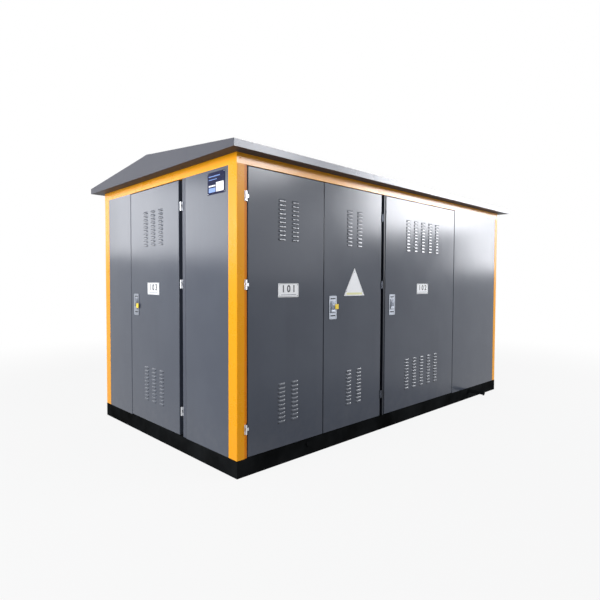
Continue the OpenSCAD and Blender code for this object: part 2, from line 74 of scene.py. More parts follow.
class Value:
    # a socket that does arithmetic: each operator adds a Math node
    def __init__(self, tree, socket):
        self.tree, self.socket = tree, socket

    def math(self, operation, *others):
        node = self.tree.nodes.new("ShaderNodeMath")
        node.operation = operation
        for place, item in enumerate(others):
            if isinstance(item, Value):
                self.tree.links.new(item.socket, node.inputs[place])
            else:
                node.inputs[place].default_value = item
        return Value(self.tree, node.outputs[0])

    def __add__(self, other): return self.math("ADD", self, other)
    def __radd__(self, other): return self.math("ADD", other, self)
    def __sub__(self, other): return self.math("SUBTRACT", self, other)
    def __rsub__(self, other): return self.math("SUBTRACT", other, self)
    def __mul__(self, other): return self.math("MULTIPLY", self, other)
    def least(self, other): return self.math("MINIMUM", self, other)
    def most(self, other): return self.math("MAXIMUM", self, other)
    def size(self): return self.math("ABSOLUTE", self)

    def ramp(self, low, high):
        # 0 below low and 1 above high, with a smooth step between; low may be the larger
        node = self.tree.nodes.new("ShaderNodeMapRange")
        node.interpolation_type = "SMOOTHSTEP"
        self.tree.links.new(self.socket, node.inputs["Value"])
        flipped = low > high
        node.inputs["From Min"].default_value = min(low, high)
        node.inputs["From Max"].default_value = max(low, high)
        node.inputs["To Min"].default_value = 1 if flipped else 0
        node.inputs["To Max"].default_value = 0 if flipped else 1
        return Value(self.tree, node.outputs[0])


class Finish:
    # one material: a Principled shader and the nodes that feed it
    def __init__(self, name, **constants):
        self.material = bpy.data.materials.new(name)
        self.material.use_nodes = True
        self.tree = self.material.node_tree
        self.shader = self.tree.nodes["Principled BSDF"]
        for socket, value in constants.items():
            self.shader.inputs[socket.replace("_", " ")].default_value = value
        self.place = self.node("ShaderNodeTexCoord", output="Object")
        self.x, self.y, self.z = [
            self.node("ShaderNodeSeparateXYZ", inputs={"Vector": self.place}, output=axis) for axis in "XYZ"]

    def node(self, kind, settings=None, inputs=None, output=0):
        node = self.tree.nodes.new(kind)
        for name, value in (settings or {}).items():
            setattr(node, name, value)
        for name, value in (inputs or {}).items():
            if isinstance(value, Value):
                self.tree.links.new(value.socket, node.inputs[name])
            else:
                node.inputs[name].default_value = value
        return Value(self.tree, node.outputs[output])

    def noise(self, scale, detail=3, stretch=(1, 1, 1), rough=0.55):
        place = self.node("ShaderNodeMapping", {"vector_type": "POINT"},
                          {"Vector": self.place, "Scale": stretch})
        return self.node("ShaderNodeTexNoise", {}, {"Vector": place, "Scale": scale, "Detail": detail,
                                                    "Roughness": rough}, output=0)

    def mix(self, factor, first, second):
        # colours: indices 6 and 7 are the colour sockets, 2 the colour output
        node = self.tree.nodes.new("ShaderNodeMix")
        node.data_type = "RGBA"
        for place, item in ((0, factor), (6, first), (7, second)):
            if isinstance(item, Value):
                self.tree.links.new(item.socket, node.inputs[place])
            elif place:
                node.inputs[place].default_value = (*item[:3], 1)
            else:
                node.inputs[place].default_value = item
        return Value(self.tree, node.outputs[2])

    def bumps(self, *layers):
        # each layer is (height, distance in metres)
        normal = None
        for height, distance in layers:
            inputs = {"Height": height, "Distance": distance, "Strength": 1.0}
            if normal:
                inputs["Normal"] = normal
            normal = self.node("ShaderNodeBump", {}, inputs)
        self.feed("Normal", normal)

    def feed(self, socket, value):
        self.tree.links.new(value.socket, self.shader.inputs[socket])


def srgb(red, green, blue):
    # a paint's colour as a colour chart gives it, from 0 to 255
    return tuple((c / 255 / 12.92) if c / 255 <= 0.04045 else ((c / 255 + 0.055) / 1.055) ** 2.4
                 for c in (red, green, blue))


def mixed(first, second, share):
    return tuple(a + (b - a) * share for a, b in zip(first, second))


dustBrown = (0.20, 0.19, 0.175)
waveHeight = 0.002


def sheetPaint(name, colour, rough, dust=0.0, gloss=0.5, index=1.5, peel=0.00003, flatRough=0.0, chalk=0.05,
               inner=None, paintedFlangeShade=None):
    # powder coat on folded sheet: a little orange peel, soft waves, wiped patches, dust low down
    paint = Finish(name, IOR=index, Specular_IOR_Level=gloss)
    cloud = paint.noise(1.7, 4)
    streak = paint.noise(5, 3, (1, 1, 0.12))
    grain = paint.noise(90, 2)
    wiped = paint.noise(3.5, 3).ramp(0.35, 0.7)
    base = paint.mix(cloud.ramp(0.3, 0.7) * 0.35, colour, mixed(colour, (0.5, 0.55, 0.6), chalk))
    base = paint.mix(streak.ramp(0.55, 0.75) * 0.16, base, mixed(colour, (0, 0, 0), 0.25))
    if inner:                                      # painted shade: a darker tone between the two ends of the housing, where the recess posts lie in shade
        base = paint.mix(paint.x.size().ramp(1.9, 1.8), base, inner)
    if paintedFlangeShade:                                       # painted shade: a deeper tone on the set-back flange beside a corner post, shaded by the post's step
        setBackShadeMask = paint.x.size().ramp(2.205, 2.201).least(paint.y.size().ramp(1.234, 1.231))
        base = paint.mix(setBackShadeMask, base, paintedFlangeShade)
    dusty = paint.z.ramp(0.62, 0.12) * (0.35 + paint.noise(11, 5).ramp(0.35, 0.7)) * dust
    base = paint.mix(dusty.least(1), base, dustBrown)
    paint.feed("Base Color", base)
    dull = rough + (cloud - 0.5) * 0.06 + wiped * 0.02 + dusty * 0.4 + (grain - 0.5) * 0.03
    if flatRough:                                  # weathered where it faces the sky
        facing = paint.node("ShaderNodeSeparateXYZ", inputs={
            "Vector": paint.node("ShaderNodeNewGeometry", output="Normal")}, output="Z")
        dull = dull + facing.ramp(0.6, 0.9) * flatRough
    paint.feed("Roughness", dull)
    paint.bumps((paint.noise(0.9, 2, (1, 1, 0.5)), waveHeight), (paint.noise(420, 1), peel))
    return paint


def plainMetal(name, colour, rough, inner=None):
    # zinc or steel: bright, lightly brushed, with dull patches
    metal = Finish(name, Metallic=1.0)
    lines = metal.noise(30, 3, (1, 1, 40))
    patches = metal.noise(14, 4).ramp(0.4, 0.7)
    base = metal.mix(patches * 0.5, colour, mixed(colour, (0.3, 0.3, 0.3), 0.35))
    if inner:                                      # another tone between the two ends of the housing
        base = metal.mix(metal.x.size().ramp(1.9, 1.8), base, inner)
    metal.feed("Base Color", base)
    metal.feed("Roughness", rough + patches * 0.16 + (lines - 0.5) * 0.12)
    metal.bumps((lines, 0.00006), (metal.noise(700, 2), 0.00002))
    return metal


finishes = {
    "doorGrey": dict(colour=srgb(65, 71, 83), rough=0.19, dust=0.05, gloss=0.4),
    # the hoods: the door paint a touch lighter and glossier, a painted highlight on the louvres
    "louvreGrey": dict(colour=srgb(68, 74, 86), rough=0.2, gloss=0.68),
    # recess posts: the darker inner tone is painted shade in the long sides' recesses
    "recessGrey": dict(colour=srgb(66, 71, 83), rough=0.35, dust=0.05, gloss=0.3, inner=srgb(34, 39, 49)),
    "amber": dict(colour=srgb(242, 161, 4), rough=0.27, dust=0.02, gloss=0.2, chalk=0.01),
    # corner posts: the flange tone is painted shade in the set-back beside each post
    "postAmber": dict(colour=srgb(242, 161, 4), rough=0.27, dust=0.02, gloss=0.2, chalk=0.01,
                      paintedFlangeShade=srgb(226, 130, 4)),
    "headerAmber": dict(colour=srgb(242, 161, 4), rough=0.23, gloss=0.6, chalk=0.01),
    "baseBlack": dict(colour=srgb(10, 11, 11), rough=0.6, dust=0.01, gloss=0.0, index=1.2, peel=0.00006),
    "roofGrey": dict(colour=srgb(126, 129, 136), rough=0.26, flatRough=0.42),
    "gableGrey": dict(colour=srgb(84, 85, 91), rough=0.6, gloss=0.2),
    # the soffit's grey is darker than the roof's: painted shade under the eaves
    "soffitShadedGrey": dict(colour=srgb(52, 54, 60), rough=0.5, gloss=0.2),
    "frameDark": dict(colour=srgb(28, 31, 40), rough=0.4, dust=0.06, gloss=0.25),
}
paints = {name: sheetPaint(name, **values) for name, values in finishes.items()}
zinc = plainMetal("brightZinc", srgb(214, 216, 220), 0.24, inner=srgb(96, 100, 110))
lockSteel = plainMetal("lockSteel", srgb(150, 155, 164), 0.45)


def floorFinish():
    # chequer plate: raised lozenges, laid two ways
    steel = Finish("floorSteel", Metallic=0.35)
    rise = None
    for turn, shift in ((45, 0.0), (-45, 0.021)):
        place = steel.node("ShaderNodeMapping", {"vector_type": "POINT"},
                           {"Vector": steel.place, "Rotation": (0, 0, math.radians(turn)),
                            "Location": (shift, shift, 0), "Scale": (24, 24, 24)})
        cell = [steel.node("ShaderNodeSeparateXYZ", inputs={"Vector": place}, output=axis) for axis in "XY"]
        long_, short = [(axis.math("FRACT", axis) - 0.5).size() for axis in cell]
        lump = (long_ * long_ * 5.5 + short * short * 60).ramp(1.0, 0.55)
        rise = lump if rise is None else rise.most(lump)
    worn = steel.noise(3, 5)
    steel.feed("Base Color", steel.mix(rise * 0.5 + worn * 0.3, srgb(70, 71, 74), srgb(128, 130, 134)))
    steel.feed("Roughness", 0.55 - rise * 0.15 + (worn - 0.5) * 0.2)
    steel.bumps((rise, 0.0012), (steel.noise(300, 2), 0.00005))
    return steel


def enamel(name, colour, rough=0.3, gloss=0.5):
    # printed sheet plate
    plate = Finish(name, IOR=1.5, Specular_IOR_Level=gloss)
    cloud = plate.noise(30, 4)
    worn = mixed(colour, (0.35, 0.35, 0.33), 0.25)
    plate.feed("Base Color", plate.mix(cloud.ramp(0.5, 0.8) * 0.3, colour, worn))
    plate.feed("Roughness", rough + (cloud - 0.5) * 0.15)
    plate.bumps((plate.noise(60, 2), 0.00006))
    return plate


def rubberFinish():
    rubber = Finish("sealRubber", IOR=1.45)
    cloud = rubber.noise(25, 4)
    rubber.feed("Base Color", rubber.mix(cloud, (0.012, 0.012, 0.013), (0.03, 0.03, 0.032)))
    rubber.feed("Roughness", 0.62 + cloud * 0.2)
    rubber.bumps((rubber.noise(350, 2), 0.0001))
    return rubber


floorSteel = floorFinish()
plateWhite = enamel("plateWhite", srgb(246, 247, 248))
plateInk = enamel("plateInk", srgb(34, 36, 44), 0.45)
plateEdge = enamel("plateEdge", srgb(150, 154, 160), 0.4)
noticeNavy = enamel("noticeNavy", srgb(18, 22, 56), 0.6, 0.15)
noticeBlue = enamel("noticeBlue", srgb(104, 140, 205))
stripYellow = enamel("stripYellow", srgb(232, 230, 176))
tagYellow = enamel("tagYellow", srgb(250, 214, 50), 0.4)
sealRubber = rubberFinish()
# painted shade: near-black for the louvre mouths and the lock's slots, standing in for the dark of these
# openings
paintedOpeningShade = enamel("paintedOpeningShade", srgb(10, 11, 13), 0.8)
print("finishes made")

slotFinishes = {
    "door_grey": paints["doorGrey"], "amber_paint": paints["amber"], "base_black": paints["baseBlack"],
    "roof_grey": paints["roofGrey"], "soffit_grey": paints["soffitShadedGrey"], "frame_dark": paints["frameDark"],
    "floor_steel": floorSteel, "hinge_zinc": zinc, "lock_steel": lockSteel,
    "plate_white": plateWhite, "notice_navy": noticeNavy,
}
ownFinishes = {
    "gables": paints["gableGrey"], "recess_posts": paints["recessGrey"], "corner_posts": paints["postAmber"],
    "header_front_left": paints["headerAmber"], "header_front_right": paints["headerAmber"],
}
for entry in frame["record"]["subparts"]:
    object_ = nodes[entry["node"]]
    finish = ownFinishes.get(entry["node"], slotFinishes[entry["material_slot"]])
    for place in range(len(object_.material_slots)):
        object_.material_slots[place].material = finish.material
print("CAD nodes painted")


def block(bm, low, high, bevel=0.0, segments=2, edges=None, material=0):
    # a box between two corners; edges picks which of its edges are rounded
    made = bmesh.ops.create_cube(bm, size=1)["verts"]
    size = Vector(high) - Vector(low)
    bmesh.ops.scale(bm, vec=size, verts=made)
    bmesh.ops.translate(bm, vec=Vector(low) + size / 2, verts=made)
    faces = list({f for v in made for f in v.link_faces})
    for face in faces:
        face.material_index = material
    if bevel:
        picked = {e for v in made for e in v.link_edges}
        if edges:
            picked = {e for e in picked if edges(e)}
        bmesh.ops.bevel(bm, geom=list(picked), offset=bevel, affect="EDGES", segments=segments, profile=0.5,
                        material=-1)
    return made


def disc(bm, centre, radius, thickness, sides=24, bevel=0.0, material=0, point=(0, -1, 0)):
    # a round head on a wall, standing out of it along the direction point
    made = bmesh.ops.create_cone(bm, cap_ends=True, segments=sides, radius1=radius, radius2=radius,
                                 depth=thickness)["verts"]
    turn = Vector((0, 0, 1)).rotation_difference(Vector(point)).to_matrix()
    bmesh.ops.translate(bm, vec=(0, 0, thickness / 2), verts=made)
    bmesh.ops.rotate(bm, cent=(0, 0, 0), matrix=turn, verts=made)
    bmesh.ops.translate(bm, vec=centre, verts=made)
    faces = {f for v in made for f in v.link_faces}
    for face in faces:
        face.material_index = material
    if bevel:
        out = Vector(centre) + Vector(point) * thickness
        rim = [e for e in {e for v in made for e in v.link_edges}
               if all(abs((v.co - out).dot(Vector(point))) < 1e-6 for v in e.verts)]
        bmesh.ops.bevel(bm, geom=rim, offset=bevel, affect="EDGES", segments=2, profile=0.5, material=-1)
    return made


wideFace = 0.01


def piece(name, bm, body, finishList, wall=None, smooth=35):
    # finishes a bmesh into an object that rides on a body
    if wall:
        bmesh.ops.transform(bm, matrix=walls[wall], verts=bm.verts)
    bmesh.ops.remove_doubles(bm, verts=bm.verts, dist=1e-6)
    if wall in ("back", "right"):
        bmesh.ops.reverse_faces(bm, faces=bm.faces)
    wide = {f for f in bm.faces if f.calc_area() > wideFace}   # wide sheets keep their own normals
    for edge in bm.edges:
        edge.smooth = (len(edge.link_faces) == 2 and edge.calc_face_angle(0) < math.radians(smooth)
                       and wide.isdisjoint(edge.link_faces))
    for face in bm.faces:
        face.smooth = True
    mesh = bpy.data.meshes.new(name)
    bm.to_mesh(mesh)
    bm.free()
    object_ = bpy.data.objects.new(name, mesh)
    bpy.context.collection.objects.link(object_)
    for finish in finishList:
        mesh.materials.append(finish.material)
    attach(object_, body)
    return object_


leaf = {"fold": 0.005, "lip": 0.018, "skin": 0.002, "railHeight": 0.05, "railDepth": 0.03, "railRound": 0.003,
        "railsAt": (0.88, 1.65), "sealWidth": 0.010, "sealOut": 0.004, "sealIn": 0.004, "sealRound": 0.0015,
        "gap": 0.008}
louvre = {"rows": 10, "pitch": 0.035, "columnPitch": 0.15, "width": 0.08, "height": 0.02, "out": 0.008,
          "tops": (2.2, 0.685), "sheet": 0.0012, "reach": 0.005, "shadow": 0.0025,
          # shares of height and out, going down
          "profile": ((0, 0), (0.1, 0.45), (0.3, 0.75), (0.6, 0.93), (1, 1))}


def louvreHood():
    # one pressed hood in a wall's frame: its top at z 0, its mouth at the bottom, with round ends
    bm = bmesh.new()
    grid = bmesh.ops.create_grid(bm, x_segments=5, y_segments=4, size=0.5)["verts"]
    bottom = {v for v in grid if v.co.y < -0.49}
    for v in grid:
        across = v.co.x * 2                          # -1 to 1
        end = abs(across)
        down, out = louvre["profile"][round((0.5 - v.co.y) * 4)]
        rise = max(0.0, 1 - end ** 6) * out
        v.co = Vector((math.copysign(end ** 0.45, across) * louvre["width"] / 2, -louvre["out"] * rise,
                       -louvre["height"] * down * (1 - 0.5 * end ** 4)))
    mouth = [e for e in bm.edges if all(v in bottom for v in e.verts)]
    lip = bmesh.ops.extrude_edge_only(bm, edges=mouth)["geom"]
    lipVerts = [g for g in lip if isinstance(g, bmesh.types.BMVert)]
    for v in lipVerts:                                # the sheet's thickness at the mouth
        v.co.y = min(0.0, v.co.y + louvre["sheet"])
    lipEdges = [g for g in lip if isinstance(g, bmesh.types.BMEdge) and g.is_boundary]
    # the faces inside the mouth take material 1, painted shade for the dark opening
    inner = bmesh.ops.extrude_edge_only(bm, edges=lipEdges)["geom"]
    for g in inner:
        if isinstance(g, bmesh.types.BMVert):         # up into the hood, towards the sheet
            g.co.z += louvre["reach"]
            g.co.y *= 0.6
        if isinstance(g, bmesh.types.BMFace):
            g.material_index = 1
    innerEdges = [g for g in inner if isinstance(g, bmesh.types.BMEdge) and g.is_boundary]
    last = bmesh.ops.extrude_edge_only(bm, edges=innerEdges)["geom"]
    for g in last:
        if isinstance(g, bmesh.types.BMVert):         # and back to the sheet's face
            g.co.y = 0.0
        if isinstance(g, bmesh.types.BMFace):
            g.material_index = 1
    half, foot = louvre["width"] * 0.46, -louvre["height"]
    # painted shadow: a dark strip on the sheet under the mouth
    made = block(bm, (-half, -0.0004, foot - louvre["shadow"]), (half, 0, foot), material=1)
    hidden = [f for f in {f for v in made for f in v.link_faces} if all(abs(v.co.y) < 1e-7 for v in f.verts)]
    bmesh.ops.delete(bm, geom=hidden, context="FACES_ONLY")
    bmesh.ops.recalc_face_normals(bm, faces=bm.faces)
    if sum(f.normal.y for f in bm.faces if f.material_index == 0) > 0:
        bmesh.ops.reverse_faces(bm, faces=bm.faces)
    for face in bm.faces:
        face.material_index = face.material_index or 3          # the hood's own paint
    mesh = bpy.data.meshes.new("louvreHood")
    bm.to_mesh(mesh)
    bm.free()
    return mesh


hood = louvreHood()


def stamp(bm, mesh, x, y, z):
    # adds a copy of a mesh at a place
    mesh.transform(Matrix.Translation((x, y, z)))
    bm.from_mesh(mesh)
    mesh.transform(Matrix.Translation((-x, -y, -z)))


def addPan(bm, low, high):
    # folded pan: rounded outside edges, a lip round the back, and two rails across
    face = low.y
    outer = lambda e: all(abs(v.co.y - face) < 1e-6 for v in e.verts)
    made = block(bm, low, high)
    back = [f for f in {f for v in made for f in v.link_faces}
            if all(abs(v.co.y - high.y) < 1e-6 for v in f.verts)]
    bmesh.ops.inset_region(bm, faces=back, thickness=leaf["lip"])
    made = bmesh.ops.extrude_face_region(bm, geom=back)["geom"]
    bmesh.ops.delete(bm, geom=back, context="FACES_ONLY")
    bmesh.ops.translate(bm, vec=(0, -(high.y - low.y - leaf["skin"]), 0),
                        verts=[g for g in made if isinstance(g, bmesh.types.BMVert)])
    rim = [e for e in bm.edges if outer(e)]
    bmesh.ops.bevel(bm, geom=rim, offset=leaf["fold"], affect="EDGES", segments=4, profile=0.5, material=-1)
    for z in leaf["railsAt"]:
        block(bm, (low.x + leaf["lip"], low.y + leaf["skin"] / 2, z),
              (high.x - leaf["lip"], low.y + leaf["railDepth"], z + leaf["railHeight"]), leaf["railRound"])


def addSeal(bm, low, high):
    # foam seal round the back of a leaf
    w, out = leaf["sealWidth"], leaf["sealOut"]
    a, b = low.x + leaf["sealIn"], high.x - leaf["sealIn"]
    c, d = low.z + leaf["sealIn"], high.z - leaf["sealIn"]
    runs = ((a, a + w, c, d), (b - w, b, c, d), (a + w, b - w, c, c + w), (a + w, b - w, d - w, d))
    for lowX, highX, lowZ, highZ in runs:
        block(bm, (lowX, high.y, lowZ), (highX, high.y + out, highZ), leaf["sealRound"], material=2)


def makeLeaf(node, wall, body, columns, spans=None):
    bm = bmesh.new()
    whole = span(node, wall)
    for low, high in spans or [whole]:
        low, high = Vector((low.x, 0, low.z)), Vector((high.x, whole[1].y, high.z))
        addPan(bm, low, high)
        addSeal(bm, low, high)
        start = (low.x + high.x - (columns - 1) * louvre["columnPitch"]) / 2
        for top in louvre["tops"]:
            for column in range(columns):
                for row in range(louvre["rows"]):
                    stamp(bm, hood, start + column * louvre["columnPitch"], 0, top - row * louvre["pitch"])
    made = piece(node + "_look", bm, body, [paints["doorGrey"], paintedOpeningShade, sealRubber, paints["louvreGrey"]],
                 wall)
    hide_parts(node)


makeLeaf("leaf_lv_left", "front", "door_lv_left", 2)
makeLeaf("leaf_lv_right", "front", "door_lv_right", 2)
makeLeaf("leaf_transformer", "front", "door_transformer", 5)
makeLeaf("leaf_end", "left", "door_end", 3)
makeLeaf("leaf_back_transformer", "back", "housing", 5)
makeLeaf("leaf_right_end", "right", "housing", 3)
low, high = span("leaves_back_lv", "back")
leafWidth = (high.x - low.x - leaf["gap"]) / 2
makeLeaf("leaves_back_lv", "back", "housing", 2,
         [(low, Vector((low.x + leafWidth, high.y, high.z))),
          (Vector((high.x - leafWidth, low.y, low.z)), high)])


strip = {"halfWidth": 0.02, "thickness": 0.005, "endGap": 0.003, "round": 0.001}


def makeMeetingStrip(low, high):
    # a flat bar inside, over the gap between the two closed leaves at the back
    bm = bmesh.new()
    middle = (low.x + high.x) / 2
    block(bm, (middle - strip["halfWidth"], high.y, low.z + strip["endGap"]),
          (middle + strip["halfWidth"], high.y + strip["thickness"], high.z - strip["endGap"]),
          strip["round"])
    piece("meeting_strip_back", bm, "housing", [paints["doorGrey"]], "back")


makeMeetingStrip(low, high)
print("leaves made")

lock = {"width": 0.1, "height": 0.215, "depth": 0.005, "corner": 0.008, "rim": 0.006, "handleOut": 0.012,
        "handleWidth": 0.056, "handleHeight": 0.092, "slot": 0.032, "slotHalf": 0.005,
        "slotsIn": (0.026, 0.032), "pin": 0.010, "pinUp": 0.022, "screw": 0.0035, "screwIn": 0.011,
        "tag": 0.046, "tagBack": 0.0135,
        "tagFront": 0.0155, "tagIn": 0.030}


def makeLock(name, wall, body, spots, replaced, tagged=False):
    bm = bmesh.new()
    for low, high in spots:
        x, z = (low.x + high.x) / 2, (low.z + high.z) / 2
        w, h, d = lock["width"] / 2, lock["height"] / 2, lock["depth"]
        corner = lambda e: abs(e.verts[0].co.y - e.verts[1].co.y) > 1e-4
        made = block(bm, (x - w, -d, z - h), (x + w, 0, z + h), lock["corner"], 5, corner)
        front = [f for f in bm.faces if f.normal.y < -0.9 and abs(f.calc_center_median().y + d) < 1e-6
                 and (f.calc_center_median() - Vector((x, -d, z))).length < 0.01]
        bmesh.ops.inset_region(bm, faces=front, thickness=lock["rim"], depth=0)
        bmesh.ops.inset_region(bm, faces=front, thickness=0.0015, depth=-0.0018)
        hw, hh = lock["handleWidth"] / 2, lock["handleHeight"] / 2
        # the handle's tray, greyer, with the folding handle in it
        block(bm, (x - hw - 0.006, -d - 0.001, z - hh - 0.004), (x + hw + 0.006, -d + 0.002, z + hh + 0.014),
              0.002, material=1)
        block(bm, (x - hw, -d - 0.006, z - hh + 0.010), (x + hw, -d, z + hh), 0.003, 3, material=1)
        block(bm, (x - hw, -lock["handleOut"], z - hh - 0.002), (x + hw, -d + 0.001, z - hh + 0.026),
              0.004, 3)
        # cross slots above and below as dark strips of painted shade, and the pin that the handle turns on
        slotHalf = lock["slotHalf"]
        for slotZ in (z + h - lock["slotsIn"][0], z - h + lock["slotsIn"][1]):
            block(bm, (x - lock["slot"], -d - 0.0004, slotZ - slotHalf),
                  (x + lock["slot"], -d + 0.002, slotZ + slotHalf), 0.0015, material=2)
        disc(bm, (x, -d - 0.005, z + lock["pinUp"]), lock["pin"], 0.005, 20, 0.001)
        # a slit in the pin, in painted shade
        block(bm, (x - 0.0012, -d - 0.0106, z + 0.016), (x + 0.0012, -d - 0.0098, z + 0.028), material=2)
        for sx in (-1, 1):
            for sz in (-1, 1):
                spot = (x + sx * (w - lock["screwIn"]), -d + 0.0015, z + sz * (h - lock["screwIn"]))
                disc(bm, spot, lock["screw"], 0.0022, 12, 0.0006)
        if tagged:
            t = lock["tag"]
            left, tagZ = x + w - lock["tagIn"], z + tagged
            block(bm, (left, -lock["tagFront"], tagZ - t / 2), (left + t, -lock["tagBack"], tagZ + t / 2),
                  0.0006, 1, material=3)
            block(bm, (left + 0.004, -0.0152, tagZ + t / 2 - 0.008), (left + 0.010, -d, tagZ + t / 2 - 0.003),
                  0.001, material=0)
    made = piece(name, bm, body, [lockSteel, lockTray, paintedOpeningShade, tagYellow], wall, 30)
    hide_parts(replaced)


lockTray = plainMetal("lockTray", srgb(104, 109, 118), 0.45)
makeLock("lock_lv_look", "front", "door_lv_right", [span("lock_lv", "front")], "lock_lv", tagged=0.008)
makeLock("lock_transformer_look", "front", "door_transformer", [span("lock_transformer", "front")],
         "lock_transformer")
makeLock("lock_end_look", "left", "door_end", [span("lock_end", "left")], "lock_end", tagged=-0.012)
print("locks made")

plate = {"corner": 0.003, "margin": 0.006, "lift": 0.0004, "rivet": 0.0035, "rivetOut": 0.0018,
         "rivetIn": 0.012, "digitHeight": 0.056, "digitUp": 0.010, "ruleIn": 0.030, "ruleUp": 0.017,
         "ruleHeight": 0.006}


def rivet(bm, x, y, z, radius=plate["rivet"], out=plate["rivetOut"], material=0):
    disc(bm, (x, y, z), radius, out, 12, out * 0.45, material)


def addNumber(bm, text, centre, height, material):
    # plain digits, cut from thin sheet
    curve = bpy.data.curves.new("digits", "FONT")
    curve.body, curve.align_x, curve.align_y = text, "CENTER", "CENTER"
    curve.size, curve.extrude, curve.offset = height * 1.42, 0.0002, height * 0.045
    curve.space_character = 1.5
    holder = bpy.data.objects.new("digits", curve)
    mesh = bpy.data.meshes.new_from_object(holder)
    mesh.transform(Matrix.Translation(centre) @ Matrix.Rotation(math.pi / 2, 4, "X"))
    before = set(bm.faces)
    bm.from_mesh(mesh)
    for face in bm.faces:
        if face not in before:
            face.material_index = material
    bpy.data.objects.remove(holder)
    bpy.data.curves.remove(curve)
    bpy.data.meshes.remove(mesh)


def makePlate(name, wall, body, node, number):
    low, high = span(node, wall)
    bm = bmesh.new()
    corner = lambda e: abs(e.verts[0].co.y - e.verts[1].co.y) > 1e-4
    block(bm, low, high, plate["corner"], 3, corner)
    front = [f for f in bm.faces if f.normal.y < -0.9]
    bmesh.ops.inset_region(bm, faces=front, thickness=plate["margin"], depth=0)
    bmesh.ops.inset_region(bm, faces=front, thickness=0.0008, depth=plate["lift"])
    x, z = (low.x + high.x) / 2, (low.z + high.z) / 2
    y = low.y - plate["lift"]
    addNumber(bm, number, (x, y, z + plate["digitUp"]), plate["digitHeight"], 1)
    half, foot = (high.x - low.x) / 2 - plate["ruleIn"], low.z + plate["ruleUp"]
    block(bm, (x - half, y - 0.0002, foot), (x + half, y + 0.0001, foot + plate["ruleHeight"]), material=2)
    for sx in (low.x + plate["rivetIn"], high.x - plate["rivetIn"]):
        for sz in (low.z + plate["rivetIn"], high.z - plate["rivetIn"]):
            rivet(bm, sx, y, sz, material=3)
    made = piece(name, bm, body, [plateWhite, plateInk, plateEdge, zinc], wall)
    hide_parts(node)


makePlate("name_plate_lv_look", "front", "door_lv_left", "name_plate_lv", "101")
makePlate("name_plate_transformer_look", "front", "door_transformer", "name_plate_transformer", "102")
makePlate("name_plate_end_look", "left", "door_end", "name_plate_end", "103")


triangle = {"round": 0.004, "inset": 0.004, "lift": 0.0004, "strip": 0.020, "stripUp": 0.010,
            "stripOut": 0.0008, "rivetDown": 0.040, "rivetIn": 0.036, "rivetUp": 0.042}


def makeTriangle():
    # bare white plate with a pale strip along its foot
    low, high = span("triangle_plate", "front")
    bm = bmesh.new()
    middle, side = (low.x + high.x) / 2, high.x - low.x
    radius = side / math.sqrt(3)
    made = bmesh.ops.create_circle(bm, cap_ends=True, segments=3, radius=radius)["verts"]
    bmesh.ops.rotate(bm, cent=(0, 0, 0), matrix=Matrix.Rotation(math.pi / 2, 3, "X"), verts=made)
    top = max(v.co.z for v in made)
    if sum(1 for v in made if v.co.z > top - 1e-4) != 1:
        bmesh.ops.rotate(bm, cent=(0, 0, 0), matrix=Matrix.Rotation(math.pi, 3, "Y"), verts=made)
    if abs(max(v.co.z for v in made) - radius) > 1e-4:
        bmesh.ops.rotate(bm, cent=(0, 0, 0), matrix=Matrix.Rotation(math.pi / 6, 3, "Y"), verts=made)
    bmesh.ops.translate(bm, vec=(middle, 0, high.z - radius), verts=made)
    base = list(bm.faces)
    out = bmesh.ops.extrude_face_region(bm, geom=base)["geom"]
    bmesh.ops.translate(bm, vec=(0, low.y, 0), verts=[g for g in out if isinstance(g, bmesh.types.BMVert)])
    bmesh.ops.recalc_face_normals(bm, faces=bm.faces)
    corner = [e for e in bm.edges if abs(e.verts[0].co.y - e.verts[1].co.y) > 1e-4]
    bmesh.ops.bevel(bm, geom=corner, offset=triangle["round"], affect="EDGES", segments=3, profile=0.5,
                    material=-1)
    front = [f for f in bm.faces if f.normal.y < -0.9]
    bmesh.ops.inset_region(bm, faces=front, thickness=triangle["inset"], depth=triangle["lift"])
    half = (side - 2 * (triangle["strip"] + 0.012) / math.sqrt(3) - 0.034) / 2
    foot = low.z + triangle["stripUp"]
    block(bm, (middle - half, low.y - triangle["stripOut"], foot),
          (middle + half, low.y, foot + triangle["strip"]), material=1)
    aside, up = triangle["rivetIn"], low.z + triangle["rivetUp"]
    for x, z in ((middle, high.z - triangle["rivetDown"]), (low.x + aside, up), (high.x - aside, up)):
        rivet(bm, x, low.y - triangle["lift"], z, material=2)
    made = piece("triangle_plate_look", bm, "door_lv_right", [plateWhite, stripYellow, zinc],
                 "front")
    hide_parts("triangle_plate")


notice = {"corner": 0.003, "ink": 0.0003, "rivet": 0.003, "rivetOut": 0.0015, "rivetIn": 0.008,
          # each block's left, bottom, right and top as shares of the plate, and its finish
          "blocks": ((0.50, 0.10, 0.93, 0.52, 1), (0.07, 0.10, 0.46, 0.30, 2), (0.07, 0.36, 0.46, 0.42, 1),
                     (0.07, 0.80, 0.72, 0.84, 2), (0.07, 0.66, 0.55, 0.69, 2))}


